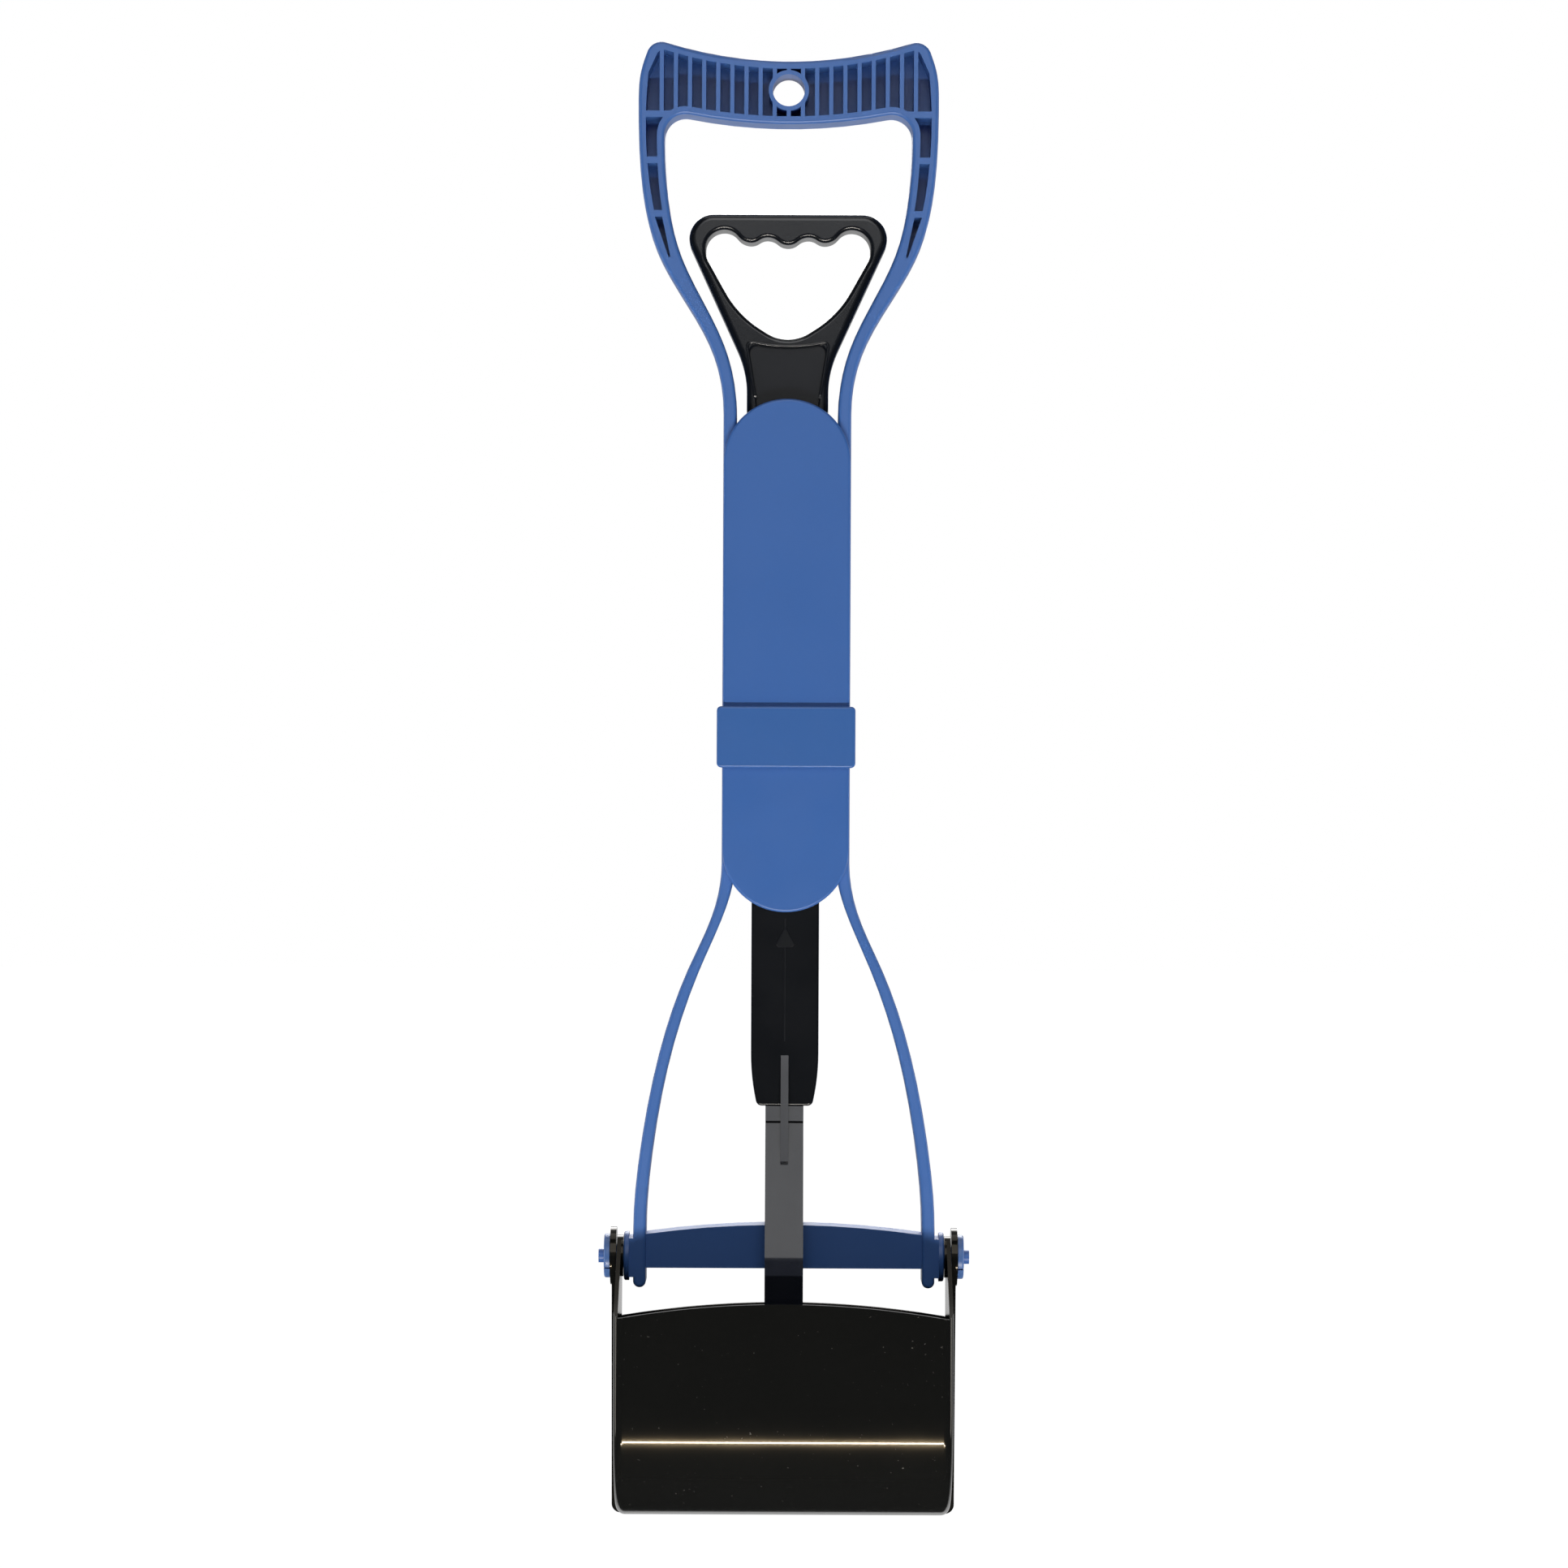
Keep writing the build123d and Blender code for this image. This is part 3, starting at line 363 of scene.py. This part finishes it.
def crosshead_screws(name, material):
    """The rear cover's screws with rounded heads and cross recesses, in the place of their CAD node."""
    low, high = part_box("cover_screws")
    head_radius = 2.55e-3
    shank_radius = 1.3e-3
    head_height = 1.5e-3
    rounding = 0.35e-3
    bevel = 0.3 * rounding
    recess_reach = 1.5e-3
    recess_half_width = 0.32e-3
    recess_depth = 0.9e-3
    sides = 32
    made = bmesh.new()
    for across in (low[0] + head_radius, high[0] - head_radius):
        for up in (low[2] + head_radius, high[2] - head_radius):
            centre = (across, up)
            profile = [
                (head_radius - rounding, high[1]), (head_radius - bevel, high[1] - bevel),
                (head_radius, high[1] - rounding), (head_radius, high[1] - head_height),
                (shank_radius, high[1] - head_height), (shank_radius, low[1]),
            ]
            rings = [
                [made.verts.new(point) for point in circle_points(centre, radius, height, sides)]
                for radius, height in profile
            ]
            join_rings(made, rings)
            made.faces.new(rings[-1])
            # Cross recess: its outline, walls and floor
            arm = recess_reach
            half = recess_half_width
            cross = [
                (arm, -half), (arm, half), (half, half), (half, arm), (-half, arm), (-half, half),
                (-arm, half), (-arm, -half), (-half, -half), (-half, -arm), (half, -arm), (half, -half),
            ]
            mouth = [made.verts.new((across + x, high[1], up + z)) for x, z in cross]
            floor = [made.verts.new((across + x, high[1] - recess_depth, up + z)) for x, z in cross]
            join_rings(made, [mouth, floor])
            made.faces.new(floor)
            edges = [
                made.edges.get((ring[step], ring[(step + 1) % len(ring)]))
                for ring in (rings[0], mouth) for step in range(len(ring))
            ]
            bmesh.ops.triangle_fill(made, use_beauty=True, edges=edges)
    bmesh.ops.recalc_face_normals(made, faces=made.faces)
    piece = mesh_piece(name, made, material, "frame")
    for face in piece.data.polygons:
        face.use_smooth = False
    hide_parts("cover_screws")


crosshead_screws("crosshead_screws", steel_screw)

# Ejector marks on the front of the rails
rail_front = -9.0e-3
ring_radius = 1.25e-3
ring_wire = 0.1e-3
ring_rise = 0.06e-3
upper_ring_across = 28.0e-3
upper_ring_height = -351.6e-3
lower_ring_across = 52.6e-3
lower_ring_height = -420.0e-3


def ring_mark(name, across, up, face_y, radius, wire, rise, material, body):
    """A faint ring that an ejector pin leaves, raised a little above a face that looks to the front."""
    made = bmesh.new()
    sides = 40
    around = 8
    rings = []
    for turn in range(around):
        angle = 2 * math.pi * turn / around
        rings.append([
            made.verts.new(point) for point in circle_points(
                (across, up), radius + wire * math.cos(angle), face_y + rise * math.sin(angle), sides
            )
        ])
    join_rings(made, [*rings, rings[0]])
    bmesh.ops.recalc_face_normals(made, faces=made.faces)
    mesh_piece(name, made, material, body)


for number, (across, up) in enumerate((
    (-upper_ring_across, upper_ring_height), (upper_ring_across, upper_ring_height),
    (-lower_ring_across, lower_ring_height), (lower_ring_across, lower_ring_height),
), start=1):
    ring_mark(
        f"ejector_mark_{number}", across, up, rail_front, ring_radius, ring_wire, ring_rise, blue_frame,
        "frame",
    )

# Moulding marks on the front of the stem: a straight seam and a triangle with its lower corners cut
mark_root = 0.05e-3
seam_top = -352.0e-3
seam_bottom = -416.5e-3
seam_half_width = 0.4e-3
seam_rise = 0.09e-3
seam_taper = 0.5
gate_half_width = 4.2e-3
gate_top = -361.2e-3
gate_bottom = -370.2e-3
gate_corner = 1.2e-3
gate_rise = 0.12e-3
gate_taper = 0.9


def raised_mark(name, outline, rise, taper, material):
    """A low flat mark on the stem's front: an outline in X and Z with sloped sides."""
    front_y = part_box("pull_stem")[0][1]
    count = len(outline)
    middle_x = sum(x for x, z in outline) / count
    middle_z = sum(z for x, z in outline) / count
    made = bmesh.new()
    foot = [made.verts.new((x, front_y + mark_root, z)) for x, z in outline]
    brow = [
        made.verts.new((
            middle_x + (x - middle_x) * taper, front_y - rise, middle_z + (z - middle_z) * taper,
        ))
        for x, z in outline
    ]
    join_rings(made, [foot, brow])
    made.faces.new(foot)
    made.faces.new(brow)
    bmesh.ops.recalc_face_normals(made, faces=made.faces)
    piece = mesh_piece(name, made, material, "pull")
    for face in piece.data.polygons:
        face.use_smooth = False


black_mark = plastic("black_mark", mark_black, roughness=0.28)
raised_mark(
    "stem_seam",
    [
        (-seam_half_width, seam_top), (seam_half_width, seam_top),
        (seam_half_width, seam_bottom), (-seam_half_width, seam_bottom),
    ],
    seam_rise, seam_taper, black_mark,
)
raised_mark(
    "stem_gate_mark",
    [
        (0, gate_top),
        (gate_half_width, gate_bottom + gate_corner), (gate_half_width - gate_corner, gate_bottom),
        (gate_corner - gate_half_width, gate_bottom), (-gate_half_width, gate_bottom + gate_corner),
    ],
    gate_rise, gate_taper, black_mark,
)

# Lip of the handle's neck recess: its corners, the dip of its top edge and its two feet
bead_fade = 4
lip_half_width = 18.0e-3
lip_top = -108.2e-3
lip_dip = 2.2e-3
lip_corner = 4.0e-3
lip_foot_half_width = 13.9e-3
lip_foot = -133.0e-3
lip_wire = 0.7e-3
lip_rise = 0.6e-3


def bead(name, path, half_width, rise, face_y, material, body):
    """A low bead along a path in X and Z on a face that looks to the front, lower towards its ends."""
    made = bmesh.new()
    around = 12
    rings = []
    for step, (x, z) in enumerate(path):
        before = path[max(step - 1, 0)]
        after = path[min(step + 1, len(path) - 1)]
        along = Vector((after[0] - before[0], 0, after[1] - before[1])).normalized()
        across = along.cross(Vector((0, 1, 0)))
        share = min(1.0, min(step, len(path) - 1 - step) / bead_fade)
        ring = []
        for turn in range(around):
            angle = 2 * math.pi * turn / around
            up = rise * share * math.sin(angle)
            ring.append(made.verts.new(
                Vector((x, face_y - up, z)) + across * half_width * math.cos(angle)
            ))
        rings.append(ring)
    join_rings(made, rings)
    made.faces.new(rings[0])
    made.faces.new(rings[-1])
    bmesh.ops.recalc_face_normals(made, faces=made.faces)
    mesh_piece(name, made, material, body)


def recess_lip():
    """The rounded lip round the top of the handle's neck recess, which catches the light."""
    corner = Vector((lip_half_width, lip_top))
    foot = Vector((lip_foot_half_width, lip_foot))
    down = (foot - corner).normalized()
    steps = 12
    first = corner + down * lip_corner
    side = [foot + (first - foot) * step / steps for step in range(steps)]
    top_start = lip_half_width - lip_corner

    def top(x):
        return Vector((x, lip_top - lip_dip * (1 - (x / lip_half_width) ** 2)))

    last = top(top_start)
    bend = [
        first * (1 - share) ** 2 + corner * 2 * share * (1 - share) + last * share ** 2
        for share in (step / steps for step in range(steps))
    ]
    half = side + bend + [top(top_start * (1 - step / steps)) for step in range(steps)]
    path = half + [top(0)] + [Vector((-point.x, point.y)) for point in reversed(half)]
    front_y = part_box("pull_handle")[0][1]
    bead(
        "recess_lip", [tuple(point) for point in path], lip_wire, lip_rise, front_y, black_handle, "pull",
    )


recess_lip()

# Sloping pads at the straps' upper ends
pad_gap = 0.1e-3
pad_height = 6.4e-3
pad_depth = 1.0e-3
pad_rise = 1.5e-3
pad_half_width = 8.1e-3


def strap_root_pad(name, side):
    """The sloping pad where a strap leaves the stem's end, from the stem down to the groove."""
    high_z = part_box("pull_stem")[0][2] - pad_gap
    low_z = high_z + pad_gap - pad_height
    face_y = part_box("pull_stem")[1][1]
    made = bmesh.new()
    section = (
        (face_y - pad_depth, high_z), (face_y, high_z),
        (face_y + pad_rise, low_z), (face_y - pad_depth, low_z),
    )
    ends = [
        [made.verts.new((x, side * y, z)) for y, z in section] for x in (-pad_half_width, pad_half_width)
    ]
    join_rings(made, ends)
    for end in ends:
        made.faces.new(end)
    bmesh.ops.recalc_face_normals(made, faces=made.faces)
    piece = mesh_piece(name, made, black_strap, "pull")
    for face in piece.data.polygons:
        face.use_smooth = False


for name, side in (("front_strap_root", -1), ("rear_strap_root", 1)):
    strap_root_pad(name, side)


def ray_kinds(tree):
    """Two sockets: 1 for camera rays, and 1 for glossy and transmission rays."""
    paths = node(tree, "ShaderNodeLightPath")
    mirrored = node(
        tree, "ShaderNodeMath",
        {0: paths.outputs["Is Glossy Ray"], 1: paths.outputs["Is Transmission Ray"]}, operation="MAXIMUM",
    )
    return paths.outputs["Is Camera Ray"], mirrored.outputs[0]


def either(tree, factor, low, high):
    """A socket with the value low where the factor is 0 and high where it is 1."""
    mixed = node(tree, "ShaderNodeMix", {"Factor": factor}, data_type="FLOAT")
    for name, value in (("A", low), ("B", high)):
        if isinstance(value, bpy.types.NodeSocket):
            tree.links.new(value, mixed.inputs[name])
        else:
            mixed.inputs[name].default_value = value
    return mixed.outputs["Result"]


def pale_floor():
    """A floor that looks white, a little less so in its middle, and is mirrored only behind the object."""
    mesh = bpy.data.meshes.new("floor")
    half = floor_size / 2
    corners = [(-half, -half, 0), (half, -half, 0), (half, half, 0), (-half, half, 0)]
    mesh.from_pydata(corners, [], [(0, 1, 2, 3)])
    sheet = bpy.data.objects.new("floor", mesh)
    bpy.context.scene.collection.objects.link(sheet)
    sheet.location = (0, 0, floor_drop)
    material = bpy.data.materials.new("floor")
    material.use_nodes = True
    tree = material.node_tree
    shader = tree.nodes["Principled BSDF"]
    shader.inputs["Roughness"].default_value = floor_roughness
    shader.inputs["Emission Color"].default_value = (1, 1, 1, 1)
    camera_ray, mirrored = ray_kinds(tree)
    place = node(tree, "ShaderNodeTexCoord").outputs["Object"]
    depth = node(tree, "ShaderNodeSeparateXYZ", {"Vector": place}).outputs["Y"]
    behind = node(
        tree, "ShaderNodeMapRange",
        {"Value": depth, "From Min": mirror_dark_until, "From Max": mirror_white_from},
    ).outputs["Result"]
    lit = either(tree, mirrored, 1.0, behind)
    tone = node(tree, "ShaderNodeMix", {"Factor": lit}, data_type="RGBA")
    tone.inputs["A"].default_value = (0, 0, 0, 1)
    tone.inputs["B"].default_value = (floor_tone, floor_tone, floor_tone, 1)
    tree.links.new(tone.outputs["Result"], shader.inputs["Base Color"])
    away = node(tree, "ShaderNodeVectorMath", {0: place}, operation="LENGTH").outputs["Value"]
    white = node(
        tree, "ShaderNodeMapRange",
        {
            "Value": away, "From Min": floor_reach[0], "From Max": floor_reach[1],
            "To Min": floor_white[0], "To Max": floor_white[1],
        },
    ).outputs["Result"]
    glow = node(tree, "ShaderNodeMath", {0: behind, 1: mirror_white}, operation="MULTIPLY").outputs[0]
    shown = either(tree, camera_ray, either(tree, mirrored, 0.0, glow), white)
    tree.links.new(shown, shader.inputs["Emission Strength"])
    mesh.materials.append(material)


pale_floor()


def area_lamp(name, elevation, azimuth, distance, size, radiance, colour):
    """A soft lamp that faces the object. Azimuth turns from the front towards +X."""
    lamp = bpy.data.lights.new(name, "AREA")
    lamp.shape = "RECTANGLE"
    lamp.size, lamp.size_y = size
    lamp.energy = radiance * math.pi * size[0] * size[1]
    lamp.color = colour
    held = bpy.data.objects.new(name, lamp)
    bpy.context.scene.collection.objects.link(held)
    away = Vector((
        math.sin(azimuth) * math.cos(elevation), -math.cos(azimuth) * math.cos(elevation),
        math.sin(elevation),
    ))
    held.location = target + distance * away
    held.rotation_euler = away.to_track_quat("Z", "Y").to_euler()
    held.visible_camera = False


area_lamp("strip_lamp", strip_elevation, 0, strip_distance, strip_size, strip_radiance, strip_colour)
area_lamp("top_box", top_elevation, 0, top_distance, top_size, top_radiance, white_light)
area_lamp("back_box", back_elevation, math.pi, back_distance, back_size, back_radiance, white_light)
area_lamp("over_box", math.pi / 2, 0, over_distance, over_size, over_radiance, white_light)
area_lamp("front_box", front_elevation, 0, front_distance, front_size, front_radiance, white_light)
for name, hand in (("left_box", -1), ("right_box", 1)):
    area_lamp(name, 0, hand * side_azimuth, side_distance, side_size, side_radiance, white_light)


def white_world():
    """White where the camera looks, faint as light, and in reflections brighter behind the object."""
    world = bpy.data.worlds.new("studio")
    bpy.context.scene.world = world
    world.use_nodes = True
    tree = world.node_tree
    camera_ray, mirrored = ray_kinds(tree)
    direction = node(tree, "ShaderNodeTexCoord").outputs["Generated"]
    depth = node(tree, "ShaderNodeSeparateXYZ", {"Vector": direction}).outputs["Y"]
    behind = node(
        tree, "ShaderNodeMapRange",
        {
            "Value": depth, "From Min": world_dim_until, "From Max": world_bright_from,
            "To Min": front_dim, "To Max": behind_bright,
        },
    ).outputs["Result"]
    strength = either(tree, camera_ray, either(tree, mirrored, ambient_level, behind), 1.0)
    tree.links.new(strength, tree.nodes["Background"].inputs["Strength"])
    tree.nodes["Background"].inputs["Color"].default_value = (1, 1, 1, 1)


white_world()

# Camera
camera_data = bpy.data.cameras.new("camera")
camera_data.sensor_width = sensor_width
camera_data.lens = sensor_width * camera_distance / (photo_pixels * pixel_size)
camera = bpy.data.objects.new("camera", camera_data)
bpy.context.scene.collection.objects.link(camera)
camera.location = (camera_across, -camera_distance, camera_height)
upright = Matrix.Rotation(math.pi / 2, 3, "X")
camera.rotation_euler = (upright @ Matrix.Rotation(camera_roll, 3, "Z")).to_euler()
bpy.context.scene.camera = camera
bpy.context.scene.view_settings.view_transform = "Standard"
